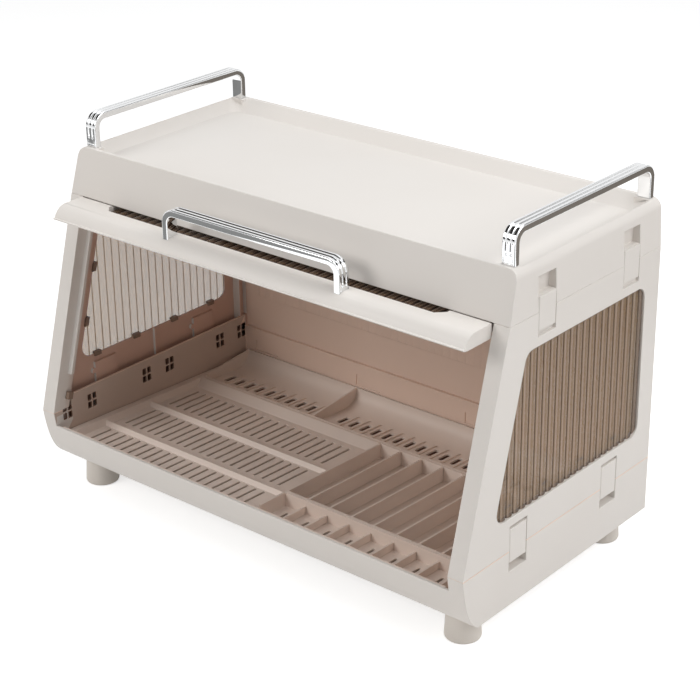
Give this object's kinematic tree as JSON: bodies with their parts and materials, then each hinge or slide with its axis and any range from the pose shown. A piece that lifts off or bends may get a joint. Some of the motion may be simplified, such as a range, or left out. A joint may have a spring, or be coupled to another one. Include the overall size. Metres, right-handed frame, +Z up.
{
  "type": "cabinet dish drainer",
  "caption": "Countertop dish cabinet with a slotted drain insert, fluted side windows, a tray top with grab handles and a front door that slides back under the top.",
  "frame": {"origin": "middle of the footprint, on the surface that the feet stand on", "axes": "+X to the right seen from the front, +Y to the back, +Z up"},
  "size_m": [0.54, 0.3, 0.3893],
  "materials": {
    "body": "satin cream",
    "feet": "satin cream",
    "windows": "smoked, fluted, see-through",
    "handles": "polished",
    "screws": "plain",
    "bumpers": "matt"
  },
  "bodies": {
    "cabinet": {"back_panel": "body", "base_tray": "body", "cup_divider_1": "body", "cup_divider_2": "body", "cup_divider_3": "body", "cup_divider_4": "body", "cup_divider_5": "body", "cup_divider_6": "body", "cup_divider_7": "body", "cup_divider_8": "body", "cup_rack": "body", "door_bumper_left": "bumpers", "door_bumper_right": "bumpers", "drain_grid": "body", "foot_back_left": "feet", "foot_back_right": "feet", "foot_front_left": "feet", "foot_front_right": "feet", "handle_screw_left_back": "screws", "handle_screw_left_front": "screws", "handle_screw_right_back": "screws", "handle_screw_right_front": "screws", "plate_divider_1": "body", "plate_divider_2": "body", "plate_divider_3": "body", "plate_divider_4": "body", "plate_divider_5": "body", "plate_divider_6": "body", "plate_divider_7": "body", "plate_divider_8": "body", "plate_rack": "body", "rear_trough": "body", "side_panel_left": "body", "side_panel_right": "body", "side_window_left": "windows", "side_window_right": "windows", "top_cover": "body", "top_handle_left": "handles", "top_handle_right": "handles"},
    "door": {"door_frame": "body", "door_handle": "handles", "door_pin_left": "screws", "door_pin_right": "screws", "door_screw_left": "screws", "door_screw_right": "screws", "door_window": "windows"},
    "door_carriage": {"door_shoe_left": "body", "door_shoe_right": "body"},
    "lower_lock_back_left_plate": {"lower_lock_back_left": "body"},
    "lower_lock_back_right_plate": {"lower_lock_back_right": "body"},
    "lower_lock_front_left_plate": {"lower_lock_front_left": "body"},
    "lower_lock_front_right_plate": {"lower_lock_front_right": "body"},
    "upper_lock_back_left_plate": {"upper_lock_back_left": "body"},
    "upper_lock_back_right_plate": {"upper_lock_back_right": "body"},
    "upper_lock_front_left_plate": {"upper_lock_front_left": "body"},
    "upper_lock_front_right_plate": {"upper_lock_front_right": "body"}
  },
  "joints": [
    {"name": "door_slide", "type": "slide", "parent": "cabinet", "child": "door_carriage", "axis": [0, -1, 0], "range_m": [0, 0.1822]},
    {"name": "door_swing", "type": "hinge", "parent": "door_carriage", "child": "door", "pos_m": [0, 0.097, 0.301], "axis": [1, 0, 0], "range_deg": [0, 74.43]},
    {"name": "upper_lock_front_left_slide", "type": "slide", "parent": "cabinet", "child": "upper_lock_front_left_plate", "axis": [0, 0, 1], "range_m": [0, 0.0175]},
    {"name": "lower_lock_front_left_slide", "type": "slide", "parent": "cabinet", "child": "lower_lock_front_left_plate", "axis": [0, 0, -1], "range_m": [0, 0.0085]},
    {"name": "upper_lock_back_left_slide", "type": "slide", "parent": "cabinet", "child": "upper_lock_back_left_plate", "axis": [0, 0, 1], "range_m": [0, 0.0175]},
    {"name": "lower_lock_back_left_slide", "type": "slide", "parent": "cabinet", "child": "lower_lock_back_left_plate", "axis": [0, 0, -1], "range_m": [0, 0.0085]},
    {"name": "upper_lock_front_right_slide", "type": "slide", "parent": "cabinet", "child": "upper_lock_front_right_plate", "axis": [0, 0, 1], "range_m": [0, 0.0175]},
    {"name": "lower_lock_front_right_slide", "type": "slide", "parent": "cabinet", "child": "lower_lock_front_right_plate", "axis": [0, 0, -1], "range_m": [0, 0.0085]},
    {"name": "upper_lock_back_right_slide", "type": "slide", "parent": "cabinet", "child": "upper_lock_back_right_plate", "axis": [0, 0, 1], "range_m": [0, 0.0175]},
    {"name": "lower_lock_back_right_slide", "type": "slide", "parent": "cabinet", "child": "lower_lock_back_right_plate", "axis": [0, 0, -1], "range_m": [0, 0.0085]}
  ],
  "couplings": [
    {"joint": "door_swing", "follows": "door_slide", "rad_per_m": 7.1298}
  ]
}
